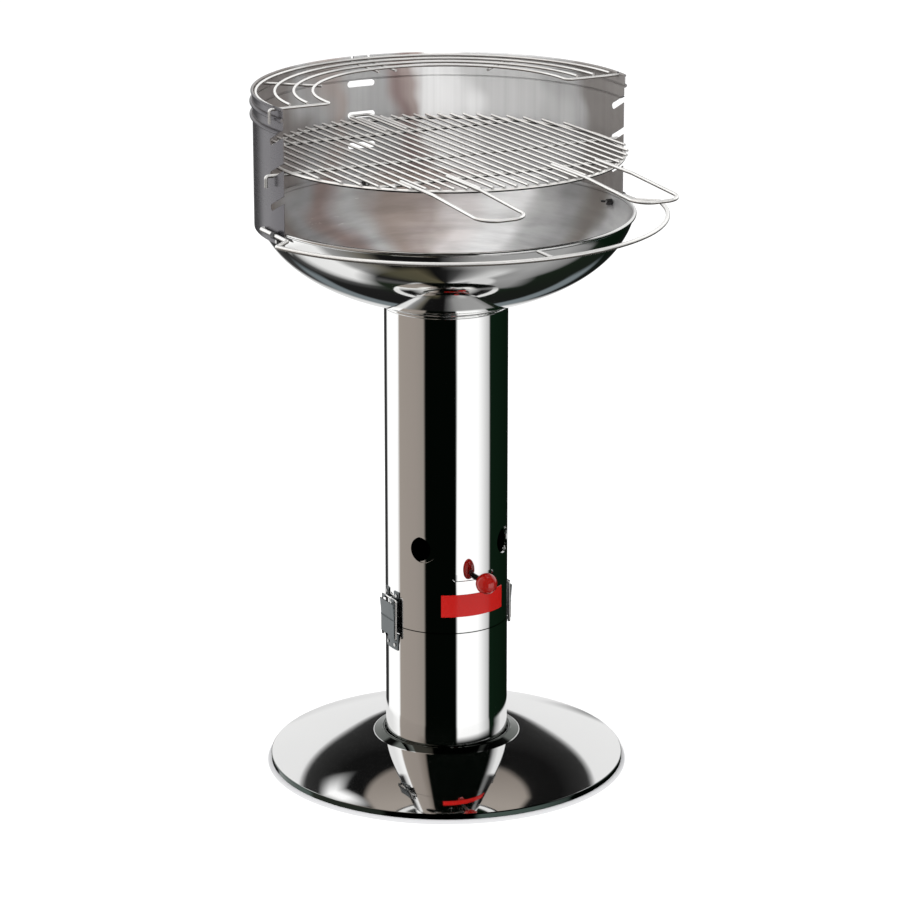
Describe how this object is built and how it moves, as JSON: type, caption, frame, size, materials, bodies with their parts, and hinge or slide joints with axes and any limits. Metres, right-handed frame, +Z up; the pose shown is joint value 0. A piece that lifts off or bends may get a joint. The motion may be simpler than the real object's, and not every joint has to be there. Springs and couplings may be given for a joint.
{
  "type": "charcoal grill",
  "caption": "Round charcoal grill on a column with a dish foot, half-round windscreen, hanging cooking grid, warming rack, front rail and turning air regulator.",
  "frame": {"origin": "on the floor, at the middle of the foot's bounding box in X and Y", "axes": "+Z up; the front, where the windscreen is open and the knob and handles are, faces -Y; +X is to the right of a person who looks along +Y from the front"},
  "size_m": [0.59, 0.6587, 0.965],
  "materials": {
    "bright_sheet": "mirror-polished stainless sheet",
    "brushed_sheet": "satin inside, polished outside",
    "steel": "plain",
    "dark_steel": "satin",
    "wire": "bright drawn wire",
    "red_enamel": "gloss",
    "red_plastic": "gloss",
    "black_plastic": "satin",
    "black_metal": "satin black"
  },
  "bodies": {
    "grill": {"foot_dish": "bright_sheet", "foot_bolts": "steel", "foot_nuts": "steel", "ash_pot": "bright_sheet", "latch_bases": "dark_steel", "latch_pins": "steel", "latch_keepers": "dark_steel", "latch_rivets": "steel", "column": "bright_sheet", "sleeve_ledge": "steel", "label_plate": "red_enamel", "bowl": "brushed_sheet", "windscreen": "brushed_sheet", "screen_screws": "steel", "screen_spacers": "steel", "wing_nuts": "black_plastic", "rear_washer": "steel", "rail_clips": "black_metal", "front_rail": "wire", "rail_strut": "wire"},
    "regulator": {"air_sleeve": "steel", "knob_bolt": "dark_steel", "knob_ball": "red_plastic"},
    "left_lever": {"lever_left": "dark_steel"},
    "left_bail": {"bail_left": "wire"},
    "right_lever": {"lever_right": "dark_steel"},
    "right_bail": {"bail_right": "wire"},
    "charcoal_grate": {"coal_ring": "wire", "coal_bars": "wire", "coal_loops": "wire"},
    "cooking_grid": {"grid_ring": "wire", "grid_bars": "wire", "grid_hanger": "wire", "grid_cross_wires": "wire", "grid_handles": "wire", "grid_tab": "wire"},
    "warming_rack": {"rack_frame": "wire", "rack_arcs": "wire", "rack_spokes": "wire"}
  },
  "joints": [
    {"name": "air_regulator", "type": "hinge", "parent": "grill", "child": "regulator", "pos_m": [0, 0, 0.291], "axis": [0, 0, 1], "range_deg": [-18, 18]},
    {"name": "left_latch", "type": "hinge", "parent": "grill", "child": "left_lever", "pos_m": [-0.09, 0, 0.195], "axis": [0, -1, 0], "range_deg": [0, 120]},
    {"name": "left_bail_swing", "type": "hinge", "parent": "left_lever", "child": "left_bail", "pos_m": [-0.09049, 0, 0.19153], "axis": [0, -1, 0], "range_deg": [-116.5, 0]},
    {"name": "right_latch", "type": "hinge", "parent": "grill", "child": "right_lever", "pos_m": [0.09, 0, 0.195], "axis": [0, 1, 0], "range_deg": [0, 120]},
    {"name": "right_bail_swing", "type": "hinge", "parent": "right_lever", "child": "right_bail", "pos_m": [0.09049, 0, 0.19153], "axis": [0, 1, 0], "range_deg": [-116.5, 0]},
    {"name": "grate_lift", "type": "slide", "parent": "grill", "child": "charcoal_grate", "axis": [0, 0, 1], "range_m": [0, 0.1]},
    {"name": "grid_draw", "type": "slide", "parent": "grill", "child": "cooking_grid", "axis": [0, -0.8988, 0.4384], "range_m": [0, 0.055]},
    {"name": "rack_lift", "type": "slide", "parent": "grill", "child": "warming_rack", "axis": [0, 0, 1], "range_m": [0, 0.06]}
  ],
  "couplings": [
    {"joint": "left_bail_swing", "follows": "left_latch", "ratio": -0.962},
    {"joint": "right_bail_swing", "follows": "right_latch", "ratio": -0.962}
  ]
}
